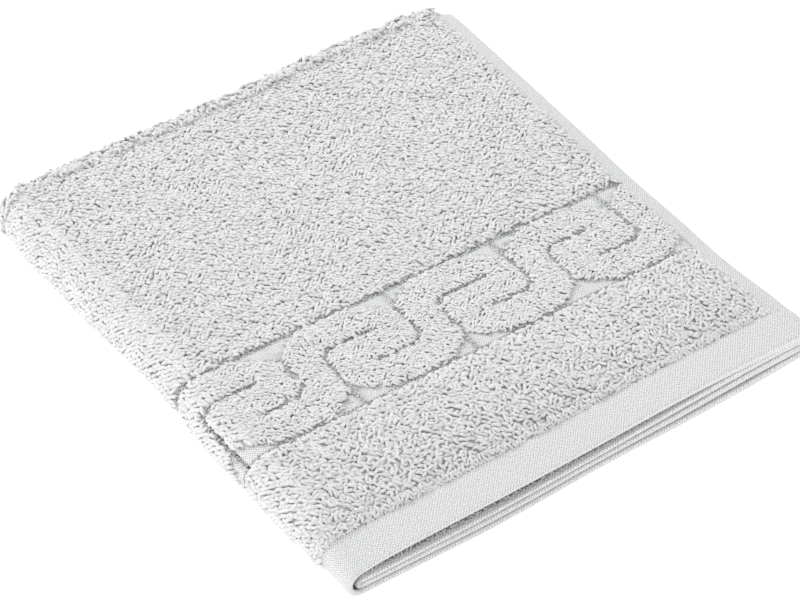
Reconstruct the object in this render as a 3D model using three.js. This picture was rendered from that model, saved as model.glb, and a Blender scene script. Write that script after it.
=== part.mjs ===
// A terry washcloth folded in quarters and lying flat.
//
// The cloth is folded first at the back, so that its two hems meet at the front,
// and then at the left, so that its selvedges meet at the right. Ply 1 is on top
// and ply 4 at the bottom. Plies 1 and 4 join round the outside of the left fold,
// plies 2 and 3 inside it, and each of these pairs joins again round the back.
// A border of Greek key is woven into the pile near the hem of plies 1 and 4.
//
// Millimetres, +Z up, front hem towards -Y, left fold towards -X.
// The origin is at the bottom centre.
import * as THREE from "three";

// Folded size
const WIDTH = 150; // half of the 300 mm cloth
const LENGTH = 165; // half of the 330 mm cloth
const RIGHT = WIDTH / 2;
const FRONT = -LENGTH / 2;
const BACK = LENGTH / 2;

// Cloth
const PLY_PITCH = 4.0; // from ply to ply where the pile is full
const PILE_THICKNESS = 3.4; // ground cloth with its loops on both faces
const SEAM_PILE_THICKNESS = 2.5; // the pile pressed down beside the hem's seam
const HEM_DEPTH = 11; // turned hem, from its seam to the cloth's end
const DROOP_LENGTH = 16; // how far behind the seam the plies come down to it
const SELVEDGE_DEPTH = 5; // flat ribbed strip without loops
const SELVEDGE_THICKNESS = 1.3;
const SELVEDGE_DROOP = 0.2; // share of its height that a ply loses at the selvedge
const SELVEDGE_DROOP_LENGTH = 10;
const EDGE_ROUNDING = 0.4; // how far in from a cut or turned edge it is full thick
const EDGE_SHARE = 0.6; // thickness at the very edge against the full one
const PILE_RISE = [
  // how the pile rises from a bare strip: distance in from it, share of the rise
  { inward: -0.4, share: 0 },
  { inward: 0.4, share: 0.6 },
  { inward: 1.4, share: 0.9 },
  { inward: 2.6, share: 1 },
];

// Folds. The axis of the left fold and of the back folds, and the path lengths.
const PLIES = 4;
const OUTER_RADIUS = ((PLIES - 1) * PLY_PITCH) / 2;
const PAIR_RADIUS = PLY_PITCH / 2;
const FOLD_X = -RIGHT + OUTER_RADIUS + PILE_THICKNESS / 2;
const FOLD_Y = BACK - PAIR_RADIUS - PILE_THICKNESS / 2;
const FLAT_ACROSS = RIGHT - FOLD_X;
const FOLD_ACROSS = Math.PI * OUTER_RADIUS;
const ACROSS = 2 * FLAT_ACROSS + FOLD_ACROSS;
const FLAT_ALONG = FOLD_Y - FRONT;
const FOLD_ALONG = Math.PI * PAIR_RADIUS;
const ALONG = 2 * FLAT_ALONG + FOLD_ALONG;
const SEAM_Y = FRONT + HEM_DEPTH;

// The hems at the front edge: height of each hem's underside, and the hems' thickness.
const HEM_STACK = [
  { x: -75, ply1: 6.0, ply2: 3.35, ply3: 1.7, ply4: 0, thickness: 1.45 },
  { x: -60, ply1: 8.2, ply2: 3.35, ply3: 1.7, ply4: 0, thickness: 1.45 },
  { x: -27, ply1: 8.4, ply2: 3.35, ply3: 1.7, ply4: 0, thickness: 1.45 },
  { x: 4, ply1: 8.7, ply2: 4.1, ply3: 2.0, ply4: 0, thickness: 1.6 },
  { x: 30, ply1: 9.6, ply2: 5.3, ply3: 2.6, ply4: 0, thickness: 1.9 },
  { x: 57, ply1: 9.3, ply2: 6.4, ply3: 3.2, ply4: 0, thickness: 2.2 },
  { x: 75, ply1: 8.9, ply2: 6.1, ply3: 3.1, ply4: 0, thickness: 2.2 },
];

// The same plies at the seam: height of each ply's middle.
const SEAM_STACK = [
  { x: -75, ply1: 9.7, ply2: 6.75, ply3: 4.0, ply4: 1.25 },
  { x: -10, ply1: 9.9, ply2: 6.8, ply3: 4.0, ply4: 1.25 },
  { x: 30, ply1: 10.8, ply2: 7.6, ply3: 4.4, ply4: 1.25 },
  { x: 75, ply1: 10.7, ply2: 7.6, ply3: 4.4, ply4: 1.25 },
];

// How far behind the straight front line each hem's edge lies.
const FRONT_EDGE = [
  { x: -75, ply1: 0.2, ply2: 0.9, ply3: 0.8, ply4: 0.3 },
  { x: -57, ply1: 0.0, ply2: 0.4, ply3: 0.3, ply4: -0.1 },
  { x: -27, ply1: 0.0, ply2: 0.3, ply3: -0.2, ply4: -0.7 },
  { x: 5, ply1: 0.1, ply2: 0.5, ply3: 0.5, ply4: 0.2 },
  { x: 31, ply1: 0.0, ply2: 0.6, ply3: 0.5, ply4: 0.2 },
  { x: 55, ply1: 0.0, ply2: 0.7, ply3: 0.9, ply4: 0.6 },
  { x: 75, ply1: -0.3, ply2: 0.8, ply3: 1.2, ply4: 1.5 },
];

// How far the outline swings from the straight rectangle, left and right along y.
const SIDE_OUTLINE = [
  { y: -82, left: -0.2, right: -0.2 },
  { y: -66, left: -0.2, right: -1.3 },
  { y: -48, left: -0.3, right: -2.1 },
  { y: -30, left: -0.6, right: -1.4 },
  { y: -10, left: 0.3, right: -1.0 },
  { y: 9, left: 0.7, right: 0.1 },
  { y: 27, left: -0.2, right: 1.0 },
  { y: 56, left: -1.1, right: 2.4 },
  { y: 68, left: -1.3, right: 3.0 },
  { y: 82, left: 0.6, right: 3.4 },
];

// The same for the back folds, along x.
const BACK_OUTLINE = [
  { x: -75, back: -4.8 },
  { x: -66, back: -3.9 },
  { x: -55, back: -3.4 },
  { x: -28, back: -3.0 },
  { x: -1, back: -2.3 },
  { x: 14, back: -1.2 },
  { x: 42, back: -0.3 },
  { x: 57, back: -0.1 },
  { x: 68, back: -0.6 },
  { x: 75, back: -2.2 },
];

// Soft swells and hollows of the stack, which only the bottom ply doesn't follow.
const SWELLS = [
  { x: -48, y: 44, rise: 0.5, spread: 26 },
  { x: 6, y: 52, rise: -0.5, spread: 24 },
  { x: 48, y: 30, rise: 0.5, spread: 26 },
  { x: -20, y: 8, rise: -0.35, spread: 20 },
  { x: -57, y: -58, rise: -0.6, spread: 14 },
  { x: -20, y: -56, rise: 0.4, spread: 16 },
  { x: 30, y: -52, rise: 0.35, spread: 20 },
];

// Greek key, drawn by grooves where the bare ground shows between bars of loops.
// A row is a groove of one repeat: places across count from the repeat's start
// towards the left, and heights in the border are named below.
const KEY_REPEAT = 35.7;
const KEY_START = 41; // across the cloth from the right selvedge
const KEY_Y = { top: -10.6, upper: -20.9, lower: -31.0, bottom: -42.0 };
const KEY_GROOVES = [
  { from: 0, to: 0, start: "bottom", end: "upper" },
  { from: 0, to: -17, start: "upper", end: "upper" },
  { from: -26, to: -26, start: "top", end: "lower" },
  { from: -26, to: -10, start: "lower", end: "lower" },
];
const GROOVE_DEPTH = 1.35;
const GROOVE_FLOOR = 0.8; // half width at the floor
const GROOVE_MOUTH = 1.5; // half width at the top
const KEY_SKEW = -1.6; // the border sinks this much towards the right

// Corners of the flat part of the underside, counter-clockwise seen from above.
const BEARING_CORNERS = [
  { x: -68, y: -66 },
  { x: 66, y: -66 },
  { x: 67, y: 77 },
  { x: -68, y: 75 },
];
const RIM_LIFT = 0.5; // how far the underside rounds up outside them
const RIM_MARGIN = 0.3; // nearer than this to a line between two corners is rim

// Spacing of the surface's lines, on the face and on what lies hidden in the stack
const FACE_STEP = 13;
const HIDDEN_STEP = 22;
const FOLD_STEPS = 8;
const CLOSEST_LINES = 0.25;

const clamp = (value, low, high) => Math.min(high, Math.max(low, value));
const mix = (from, to, share) => from + (to - from) * share;

function smooth(share) {
  const t = clamp(share, 0, 1);
  return t * t * (3 - 2 * t);
}

// A soft curve through one column of a table whose rows rise along `by`.
function along(table, by, column, at) {
  const last = table.length - 1;
  let row = 0;
  while (row < last - 1 && at > table[row + 1][by]) row += 1;
  const [a, b] = [table[row], table[row + 1]];
  const span = b[by] - a[by];
  const share = clamp((at - a[by]) / span, 0, 1);
  const slope = (low, high) => (high[column] - low[column]) / (high[by] - low[by]);
  const slopeIn = row > 0 ? slope(table[row - 1], b) : slope(a, b);
  const slopeOut = row < last - 1 ? slope(a, table[row + 2]) : slope(a, b);
  const t2 = share * share;
  const t3 = t2 * share;
  return (
    (2 * t3 - 3 * t2 + 1) * a[column] +
    (t3 - 2 * t2 + share) * span * slopeIn +
    (3 * t2 - 2 * t3) * b[column] +
    (t3 - t2) * span * slopeOut
  );
}

// 0 at the seam and 1 where the plies lie full: steep beside the hem, then level.
function fullness(y) {
  const share = clamp((y - SEAM_Y) / DROOP_LENGTH, 0, 1);
  return 1 - (1 - share) ** 2;
}

function swell(x, y) {
  let rise = 0;
  for (const bump of SWELLS) {
    const reach = Math.hypot(x - bump.x, y - bump.y) / bump.spread;
    rise += bump.rise * Math.exp(-reach * reach);
  }
  return rise;
}

// Height of the middle of a ply.
function plyHeight(ply, x, y) {
  const column = `ply${ply}`;
  const seam = along(SEAM_STACK, "x", column, x);
  if (y < SEAM_Y) {
    const edge =
      along(HEM_STACK, "x", column, x) + along(HEM_STACK, "x", "thickness", x) / 2;
    return mix(edge, seam, (y - FRONT) / HEM_DEPTH);
  }
  const share = fullness(y);
  const lift = (PLIES - ply) / (PLIES - 1);
  const full =
    PILE_THICKNESS / 2 + (PLIES - ply) * PLY_PITCH + lift * swell(x, y);
  const side = smooth((x - RIGHT + SELVEDGE_DROOP_LENGTH) / SELVEDGE_DROOP_LENGTH);
  return mix(seam, full, share) * (1 - SELVEDGE_DROOP * side * share);
}

// How high the pile stands at a distance in from a bare strip, from 0 to 1.
function pileRise(inward) {
  let share = PILE_RISE[0].share;
  for (let i = 1; i < PILE_RISE.length; i += 1) {
    const [a, b] = [PILE_RISE[i - 1], PILE_RISE[i]];
    const part = clamp((inward - a.inward) / (b.inward - a.inward), 0, 1);
    share += (b.share - a.share) * part;
  }
  return share;
}

// Thickness of the cloth at a place across and along it.
function thickness(across, length) {
  const fromSelvedge = Math.min(across, ACROSS - across);
  const fromEnd = Math.min(length, ALONG - length);
  const onTop = across < ACROSS / 2;
  const x = clamp(
    onTop ? RIGHT - across : FOLD_X + across - FLAT_ACROSS - FOLD_ACROSS,
    FOLD_X,
    RIGHT,
  );
  const hem = along(HEM_STACK, "x", "thickness", x);
  const share = fullness(FRONT + fromEnd);
  const pile = mix(SEAM_PILE_THICKNESS, PILE_THICKNESS, share);
  const beside = mix(SELVEDGE_THICKNESS, pile, pileRise(fromSelvedge - SELVEDGE_DEPTH));
  const full =
    fromEnd < HEM_DEPTH - 1
      ? hem
      : mix(Math.min(hem, beside), beside, pileRise(fromEnd - HEM_DEPTH));
  const edge = clamp(Math.min(fromSelvedge, fromEnd) / EDGE_ROUNDING, 0, 1);
  return full * mix(EDGE_SHARE, 1, edge);
}

function distanceToGroove(across, y, groove, start) {
  const a0 = start + groove.from;
  const a1 = start + groove.to;
  const y0 = KEY_Y[groove.start];
  const y1 = KEY_Y[groove.end];
  const nearA = clamp(across, Math.min(a0, a1), Math.max(a0, a1));
  const nearY = clamp(y, Math.min(y0, y1), Math.max(y0, y1));
  return Math.hypot(across - nearA, y - nearY);
}

// Depth of the border's grooves on the face of the hemmed end of plies 1 and 4.
function grooveDepth(across, length) {
  const y = FRONT + length;
  let near = Math.min(Math.abs(y - KEY_Y.top), Math.abs(y - KEY_Y.bottom));
  for (let start = KEY_START; start < ACROSS + KEY_REPEAT; start += KEY_REPEAT) {
    for (const groove of KEY_GROOVES) {
      near = Math.min(near, distanceToGroove(across, y, groove, start));
    }
  }
  const wall = GROOVE_MOUTH - GROOVE_FLOOR;
  const share = clamp((GROOVE_MOUTH - near) / wall, 0, 1);
  const bare = pileRise(Math.min(across, ACROSS - across) - SELVEDGE_DEPTH);
  return GROOVE_DEPTH * share * bare;
}

// Middle of the cloth, folded, at a place across and along it.
function middle(across, length) {
  const turn = clamp((length - FLAT_ALONG) / FOLD_ALONG, 0, 1) * Math.PI;
  const flatLength = length < ALONG / 2 ? length : ALONG - length;
  const flatY = FRONT + Math.min(flatLength, FLAT_ALONG);
  const outer = (1 + Math.cos(turn)) / 2;

  const bend = clamp((across - FLAT_ACROSS) / FOLD_ACROSS, 0, 1) * Math.PI;
  const onTop = across < ACROSS / 2;
  const flatAcross = onTop ? across : ACROSS - across;
  const x = RIGHT - Math.min(flatAcross, FLAT_ACROSS);
  const top = mix(plyHeight(2, x, flatY), plyHeight(1, x, flatY), outer);
  const bottom = mix(plyHeight(3, x, flatY), plyHeight(4, x, flatY), outer);
  const radius = (top - bottom) / 2;

  const low = (1 - Math.cos(bend)) / 2;
  const setBack = mix(
    mix(along(FRONT_EDGE, "x", "ply2", x), along(FRONT_EDGE, "x", "ply1", x), outer),
    mix(along(FRONT_EDGE, "x", "ply3", x), along(FRONT_EDGE, "x", "ply4", x), outer),
    low,
  );
  return new THREE.Vector3(
    x - radius * Math.sin(bend),
    flatY + PAIR_RADIUS * Math.sin(turn) + setBack * (1 - smooth((flatY - FRONT) / 40)),
    (top + bottom) / 2 + radius * Math.cos(bend),
  );
}

// Outward direction of the cloth's face there.
function faceNormal(across, length) {
  const step = 0.02;
  const a = clamp(across, step, ACROSS - step);
  const b = clamp(length, step, ALONG - step);
  const sideways = middle(a + step, b).sub(middle(a - step, b));
  const lengthways = middle(a, b + step).sub(middle(a, b - step));
  return lengthways.cross(sideways).normalize();
}

// Swings the straight rectangle to the real outline, slants the border, and
// presses flat what would reach below the surface that the cloth lies on.
function toOutline(point) {
  const { x, y } = point;
  const left = along(SIDE_OUTLINE, "y", "left", y);
  const right = along(SIDE_OUTLINE, "y", "right", y);
  const back = along(BACK_OUTLINE, "x", "back", x);
  const rightward = clamp((x + RIGHT) / WIDTH, 0, 1);
  const backward = smooth(y / BACK);
  const border = Math.exp(-(((y + 27) / 24) ** 2));
  point.x += mix(left, right, rightward);
  point.y += back * backward + KEY_SKEW * rightward * border;
  point.z = Math.max(point.z, 0);
  return point;
}

// Even steps between two places, the first place included.
function evenLines(from, to, step) {
  const steps = Math.max(1, Math.round((to - from) / step));
  return Array.from({ length: steps }, (_, i) => from + ((to - from) * i) / steps);
}

// Lines in rising order, without those that nearly coincide.
function inOrder(lines) {
  const sorted = [...lines].sort((a, b) => a - b);
  return sorted.filter((at, i) => i === 0 || at - sorted[i - 1] > CLOSEST_LINES);
}

// Lines beside an edge, up to where the pile has risen behind its bare strip.
function edgeLines(depth) {
  return [0, EDGE_ROUNDING, ...PILE_RISE.map((row) => depth + row.inward)];
}

// Places across the cloth where lines run from the front hem to the back.
function linesAcross(step) {
  const edge = edgeLines(SELVEDGE_DEPTH);
  const top = [...edge, ...evenLines(edge[edge.length - 1], FLAT_ACROSS, step)];
  const fold = evenLines(FLAT_ACROSS, ACROSS - FLAT_ACROSS, FOLD_ACROSS / FOLD_STEPS);
  return inOrder([...top, ...fold, ...top.map((at) => ACROSS - at), ACROSS - FLAT_ACROSS]);
}

// Places along the cloth where lines run from selvedge to selvedge.
function linesAlong(step) {
  const edge = edgeLines(HEM_DEPTH);
  const droop = [0.35, 0.65].map((share) => HEM_DEPTH + DROOP_LENGTH * share);
  const hem = [...edge, HEM_DEPTH / 2, ...droop];
  const front = [...hem, ...evenLines(HEM_DEPTH + DROOP_LENGTH, FLAT_ALONG, step)];
  const inner = [...hem, ...evenLines(HEM_DEPTH + DROOP_LENGTH, FLAT_ALONG, HIDDEN_STEP)];
  const fold = evenLines(FLAT_ALONG, ALONG - FLAT_ALONG, FOLD_ALONG / FOLD_STEPS);
  return inOrder([...front, ...fold, ...inner.map((at) => ALONG - at), ALONG - FLAT_ALONG]);
}

// The four lines of a groove, at its mouth and its floor.
function grooveLines(centre) {
  return [-GROOVE_MOUTH, -GROOVE_FLOOR, GROOVE_FLOOR, GROOVE_MOUTH].map((side) => centre + side);
}

// Lines across the cloth in the border, where they follow the grooves.
function keyLinesAcross() {
  const [, arm, , hook] = KEY_GROOVES;
  const clear = SELVEDGE_DEPTH + PILE_RISE[PILE_RISE.length - 1].inward;
  const lines = [];
  for (let start = KEY_START - KEY_REPEAT; start < ACROSS + KEY_REPEAT; start += KEY_REPEAT) {
    lines.push(...grooveLines(start), ...grooveLines(start + hook.from));
    lines.push(start + arm.to - GROOVE_FLOOR, start + arm.to - GROOVE_MOUTH);
    lines.push(start + hook.to + GROOVE_FLOOR, start + hook.to + GROOVE_MOUTH);
  }
  const isPlain = (at) => Math.min(at, ACROSS - at) > clear && Math.abs(at - ACROSS / 2) > FOLD_ACROSS / 2;
  const inside = lines.filter((at) => Math.min(at, ACROSS - at) > clear);
  return inOrder([...inside, ...linesAcross(FACE_STEP).filter((at) => !isPlain(at))]);
}

// Adds the triangles between two lines of points that run the same way.
function stitch(triangles, lineA, lineB) {
  let a = 0;
  let b = 0;
  while (a < lineA.length - 1 || b < lineB.length - 1) {
    const nextA = a < lineA.length - 1 ? lineA[a + 1].at : Infinity;
    const nextB = b < lineB.length - 1 ? lineB[b + 1].at : Infinity;
    if (nextA <= nextB) {
      triangles.push(lineA[a].index, lineA[a + 1].index, lineB[b].index);
      a += 1;
    } else {
      triangles.push(lineA[a].index, lineB[b + 1].index, lineB[b].index);
      b += 1;
    }
  }
}

// One side of the cloth as rows of points; side is 1 on the face and -1 on the back.
function sideRows(points, rows, side) {
  return rows.map(({ length, lines }) => ({
    at: length,
    points: lines.map((across) => {
      const groove = side > 0 && length < ALONG / 2 ? grooveDepth(across, length) : 0;
      const half = thickness(across, length) / 2 - groove;
      const point = middle(across, length);
      point.addScaledVector(faceNormal(across, length), side * half);
      points.push(toOutline(point));
      return { at: across, index: points.length - 1 };
    }),
  }));
}

// Rows of the face: fine ones in the border, coarse ones before and behind it.
function faceLayout() {
  const front = KEY_Y.bottom - GROOVE_MOUTH - FRONT;
  const back = KEY_Y.top + GROOVE_MOUTH - FRONT;
  const margin = 2;
  const outside = linesAlong(FACE_STEP).filter((at) => at < front - margin || at > back + margin);
  const plain = [...outside, front - margin, back + margin];
  const border = Object.values(KEY_Y).flatMap((y) => grooveLines(y - FRONT));
  const across = linesAcross(FACE_STEP);
  const acrossBorder = keyLinesAcross();
  const rows = [
    ...inOrder(plain).map((length) => ({ length, lines: across })),
    ...border.map((length) => ({ length, lines: acrossBorder })),
  ];
  return rows.sort((a, b) => a.length - b.length);
}

// How far a place lies to the left of the line from one corner to the next.
function leftOfLine(point, from, to) {
  const dx = to.x - from.x;
  const dy = to.y - from.y;
  return (dx * (point.y - from.y) - dy * (point.x - from.x)) / Math.hypot(dx, dy);
}

// Lays the underside flat between its four corners and rounds its rim up off the surface.
function seat(points) {
  const low = points.filter((point) => point.z < RIM_LIFT);
  const distance = (point, corner) => Math.hypot(point.x - corner.x, point.y - corner.y);
  const corners = BEARING_CORNERS.map((corner) =>
    low.reduce((best, point) => (distance(point, corner) < distance(best, corner) ? point : best)),
  );
  const isInside = (point) =>
    corners.every((from, i) => leftOfLine(point, from, corners[(i + 1) % corners.length]) > RIM_MARGIN);
  for (const point of low) {
    point.z = corners.includes(point) || isInside(point) ? 0 : RIM_LIFT;
  }
}

function clothGeometry() {
  const points = [];
  const triangles = [];
  const across = linesAcross(HIDDEN_STEP);
  const backLayout = linesAlong(HIDDEN_STEP).map((length) => ({ length, lines: across }));
  const face = sideRows(points, faceLayout(), 1);
  const back = sideRows(points, backLayout, -1);
  seat(points);

  for (let i = 1; i < face.length; i += 1) {
    stitch(triangles, face[i].points, face[i - 1].points);
  }
  for (let i = 1; i < back.length; i += 1) {
    stitch(triangles, back[i - 1].points, back[i].points);
  }
  const column = (rows, pick) => rows.map((row) => ({ at: row.at, index: pick(row.points).index }));
  const first = (list) => list[0];
  const final = (list) => list[list.length - 1];
  stitch(triangles, face[0].points, back[0].points);
  stitch(triangles, final(back).points, final(face).points);
  stitch(triangles, column(back, first), column(face, first));
  stitch(triangles, column(face, final), column(back, final));

  const geometry = new THREE.BufferGeometry().setFromPoints(points);
  geometry.setIndex(triangles);
  geometry.computeBoundingBox();
  const centre = geometry.boundingBox.getCenter(new THREE.Vector3());
  geometry.translate(-centre.x, -centre.y, -geometry.boundingBox.min.z);
  geometry.computeVertexNormals();
  return geometry;
}

const terry = new THREE.MeshStandardMaterial({
  color: 0xe1e2e1,
  roughness: 0.95,
  metalness: 0,
});

const washcloth = new THREE.Group();
const cloth = new THREE.Mesh(clothGeometry(), terry);
cloth.name = "folded_washcloth";
washcloth.add(cloth);

export default washcloth;
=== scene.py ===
"""Terry washcloth folded in quarters: woven ground, looped pile, hems and a plain studio.

The cloth is worked out flat, across from selvedge to selvedge and along from hem to
hem, and every piece is then folded by the same sizes. Lengths are millimetres until a
mesh or a light is made.
"""

import logging
import math
from dataclasses import dataclass, field
from enum import Enum
from typing import NamedTuple, Sequence

import bmesh
import bpy
import numpy as np
from bpy.types import Material, Node, NodeTree, Object
from mathutils import Matrix, Vector


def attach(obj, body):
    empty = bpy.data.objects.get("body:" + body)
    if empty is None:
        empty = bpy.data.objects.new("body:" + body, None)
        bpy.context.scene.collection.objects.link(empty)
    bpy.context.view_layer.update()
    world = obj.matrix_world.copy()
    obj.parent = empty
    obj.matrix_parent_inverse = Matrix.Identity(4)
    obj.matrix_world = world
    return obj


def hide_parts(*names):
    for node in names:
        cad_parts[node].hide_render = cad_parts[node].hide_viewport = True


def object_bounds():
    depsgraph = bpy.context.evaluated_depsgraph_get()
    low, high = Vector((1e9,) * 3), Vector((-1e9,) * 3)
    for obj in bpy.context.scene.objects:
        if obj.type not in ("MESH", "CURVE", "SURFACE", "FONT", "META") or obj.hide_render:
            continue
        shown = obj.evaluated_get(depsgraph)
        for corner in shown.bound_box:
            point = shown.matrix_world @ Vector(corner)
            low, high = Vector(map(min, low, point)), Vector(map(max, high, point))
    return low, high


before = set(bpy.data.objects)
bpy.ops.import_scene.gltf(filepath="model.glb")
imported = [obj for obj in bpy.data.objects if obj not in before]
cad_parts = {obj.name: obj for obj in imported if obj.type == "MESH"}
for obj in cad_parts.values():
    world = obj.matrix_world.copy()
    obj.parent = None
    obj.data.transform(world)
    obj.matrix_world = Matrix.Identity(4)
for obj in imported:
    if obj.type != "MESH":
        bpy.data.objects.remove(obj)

CAD_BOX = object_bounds()
Array = np.ndarray
MM = 0.001
NODE = "folded_washcloth"
PLIES = (1, 2, 3, 4)
# A distance longer than any in the border, for places that a groove doesn't reach.
FAR = 99.0

log = logging.getLogger("washcloth")


class HemRow(NamedTuple):
    """Height of each hem's underside at the front edge, and the hems' thickness."""

    x: float
    ply1: float
    ply2: float
    ply3: float
    ply4: float
    thickness: float


class PlyRow(NamedTuple):
    """One value for each ply at a place across the folded cloth."""

    x: float
    ply1: float
    ply2: float
    ply3: float
    ply4: float


class SideRow(NamedTuple):
    """Swing of the left fold and of the selvedges at a place along the cloth."""

    y: float
    left: float
    right: float


class BackRow(NamedTuple):
    """Swing of the back folds at a place across the cloth."""

    x: float
    back: float


class Swell(NamedTuple):
    """A soft rise or hollow of the stack."""

    x: float
    y: float
    rise: float
    spread: float


class Crease(NamedTuple):
    """A sharp trough: its middle on the flat cloth, its half sizes and its depth."""

    across: float
    along: float
    half_across: float
    half_along: float
    depth: float


class ShareRow(NamedTuple):
    """A share from 0 to 1 at a distance from an edge."""

    at: float
    share: float


class Ease(NamedTuple):
    """A soft change from 0 to 1: where it starts and how far it reaches."""

    start: float
    reach: float

    def share(self, at: Array) -> Array:
        """Returns how far the change has come at each place."""
        return smooth((at - self.start) / self.reach)


class Spread(NamedTuple):
    """The part of a pattern's range that is used, and the values it is spread over."""

    start: float
    end: float
    low: float = 0.0
    high: float = 1.0

    def settings(self) -> dict[str, float]:
        """Returns the settings of a node that spreads the values."""
        return dict(zip(("From Min", "From Max", "To Min", "To Max"), self))


class Lamp(NamedTuple):
    """A round soft light: its size in metres, its power in watts and its place."""

    name: str
    size: float
    watts: float
    place: tuple[float, float, float]


class Side(Enum):
    """The two sides of the cloth."""

    FACE = 1
    BACK = -1


HEM_STACK = (
    HemRow(-75, 6.0, 3.35, 1.7, 0, 1.45),
    HemRow(-60, 8.2, 3.35, 1.7, 0, 1.45),
    HemRow(-27, 8.4, 3.35, 1.7, 0, 1.45),
    HemRow(4, 8.7, 4.1, 2.0, 0, 1.6),
    HemRow(30, 9.6, 5.3, 2.6, 0, 1.9),
    HemRow(57, 9.3, 6.4, 3.2, 0, 2.2),
    HemRow(75, 8.9, 6.1, 3.1, 0, 2.2),
)
SEAM_STACK = (
    PlyRow(-75, 9.7, 6.75, 4.0, 1.25),
    PlyRow(-10, 9.9, 6.8, 4.0, 1.25),
    PlyRow(30, 10.8, 7.6, 4.4, 1.25),
    PlyRow(75, 10.7, 7.6, 4.4, 1.25),
)
FRONT_EDGE = (
    PlyRow(-75, 0.2, 0.9, 0.8, 0.3),
    PlyRow(-57, 0.0, 0.4, 0.3, -0.1),
    PlyRow(-27, 0.0, 0.3, -0.2, -0.7),
    PlyRow(5, 0.1, 0.5, 0.5, 0.2),
    PlyRow(31, 0.0, 0.6, 0.5, 0.2),
    PlyRow(55, 0.0, 0.7, 0.9, 0.6),
    PlyRow(75, -0.3, 0.8, 1.2, 1.5),
)
SIDE_OUTLINE = (
    SideRow(-82, -0.2, -0.2),
    SideRow(-66, -0.2, -1.3),
    SideRow(-48, -0.3, -2.1),
    SideRow(-30, -0.6, -1.4),
    SideRow(-10, 0.3, -1.0),
    SideRow(9, 0.7, 0.1),
    SideRow(27, -0.2, 1.0),
    SideRow(56, -1.1, 2.4),
    SideRow(68, -1.3, 3.0),
    SideRow(82, 0.6, 3.4),
)
BACK_OUTLINE = (
    BackRow(-75, -4.8),
    BackRow(-66, -3.9),
    BackRow(-55, -3.4),
    BackRow(-28, -3.0),
    BackRow(-1, -2.3),
    BackRow(14, -1.2),
    BackRow(42, -0.3),
    BackRow(57, -0.1),
    BackRow(68, -0.6),
    BackRow(75, -2.2),
)
SWELLS = (
    Swell(-48, 44, 0.5, 26),
    Swell(6, 52, -0.5, 24),
    Swell(48, 30, 0.5, 26),
    Swell(-20, 8, -0.35, 20),
    Swell(-57, -58, -0.6, 14),
    Swell(-20, -56, 0.4, 16),
    Swell(30, -52, 0.35, 20),
)
FOLD_CREASE = Crease(147.8, 49.0, 0.32, 14.0, 1.1)
SEAM_TUCK = Crease(152.5, 11.3, 3.2, 0.6, 1.0)
KEY_Y = {"top": -10.6, "upper": -20.9, "lower": -31.0, "bottom": -42.0}
# The pile's height going in from a bare strip, and the shade painted in and beside a bare groove.
PILE_RISE = (ShareRow(-0.4, 0.0), ShareRow(0.4, 0.6), ShareRow(1.4, 0.9), ShareRow(2.6, 1.0))
GROOVE_PAINTED_SHADE = (ShareRow(-0.9, 0.0), ShareRow(-0.4, 0.8), ShareRow(0.2, 1.0), ShareRow(1.2, 0.0))


def smooth(share: Array) -> Array:
    """Eases 0 to 1 with level ends."""
    t = np.clip(share, 0.0, 1.0)
    return t * t * (3.0 - 2.0 * t)


def mix(low: Array | float, high: Array | float, share: Array) -> Array:
    """Goes from low to high as share goes from 0 to 1."""
    return low + (high - low) * share


def share_at(rows: Sequence[ShareRow], at: Array) -> Array:
    """Reads the share at each distance, straight from row to row."""
    return np.interp(at, [row.at for row in rows], [row.share for row in rows])


def column(rows: Sequence[NamedTuple], name: str, at: Array) -> Array:
    """Reads a soft curve through one column of a table.

    Args:
        rows: The table, whose first column rises.
        name: The column that is read.
        at: Places along the first column.

    Returns:
        The column's value at each place.
    """
    xs = np.array([row[0] for row in rows], float)
    ys = np.array([getattr(row, name) for row in rows], float)
    slopes = np.empty_like(ys)
    slopes[1:-1] = (ys[2:] - ys[:-2]) / (xs[2:] - xs[:-2])
    slopes[0] = (ys[1] - ys[0]) / (xs[1] - xs[0])
    slopes[-1] = (ys[-1] - ys[-2]) / (xs[-1] - xs[-2])
    i = np.clip(np.searchsorted(xs, at) - 1, 0, len(xs) - 2)
    span = xs[i + 1] - xs[i]
    t = np.clip((at - xs[i]) / span, 0.0, 1.0)
    t2, t3 = t * t, t * t * t
    return (
        (2 * t3 - 3 * t2 + 1) * ys[i]
        + (t3 - 2 * t2 + t) * span * slopes[i]
        + (3 * t2 - 2 * t3) * ys[i + 1]
        + (t3 - t2) * span * slopes[i + 1]
    )


def unit(vectors: Array) -> Array:
    """Scales each vector to length 1."""
    return vectors / np.maximum(np.linalg.norm(vectors, axis=-1, keepdims=True), 1e-9)


def turned(first: Array, second: Array, angle: Array) -> tuple[Array, Array]:
    """Turns two square directions in their plane, the first towards the second."""
    cosine, sine = np.cos(angle), np.sin(angle)
    return cosine * first + sine * second, cosine * second - sine * first


@dataclass
class SoftNoise:
    """A smooth random field over the flat cloth, made of a few seeded waves.

    `wavelength` is the typical size of a patch in millimetres, and `lengths` how much
    the waves differ from it.
    """

    seed: int
    wavelength: float
    waves: int = 9
    lengths: tuple[float, float] = (0.7, 1.6)
    peak: float = 1.6

    def __post_init__(self) -> None:
        """Draws the waves."""
        rng = np.random.default_rng(self.seed)
        angle = rng.uniform(0, 2 * math.pi, self.waves)
        number = 2 * math.pi / (self.wavelength * rng.uniform(*self.lengths, self.waves))
        self.kx = number * np.cos(angle)
        self.ky = number * np.sin(angle)
        self.phase = rng.uniform(0, 2 * math.pi, self.waves)

    def __call__(self, x: Array, y: Array) -> Array:
        """Returns the field at places x, y, mostly between -1 and 1."""
        turns = np.multiply.outer(x, self.kx) + np.multiply.outer(y, self.ky) + self.phase
        return np.sin(turns).sum(-1) / math.sqrt(self.waves / 2.0) / self.peak


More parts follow.
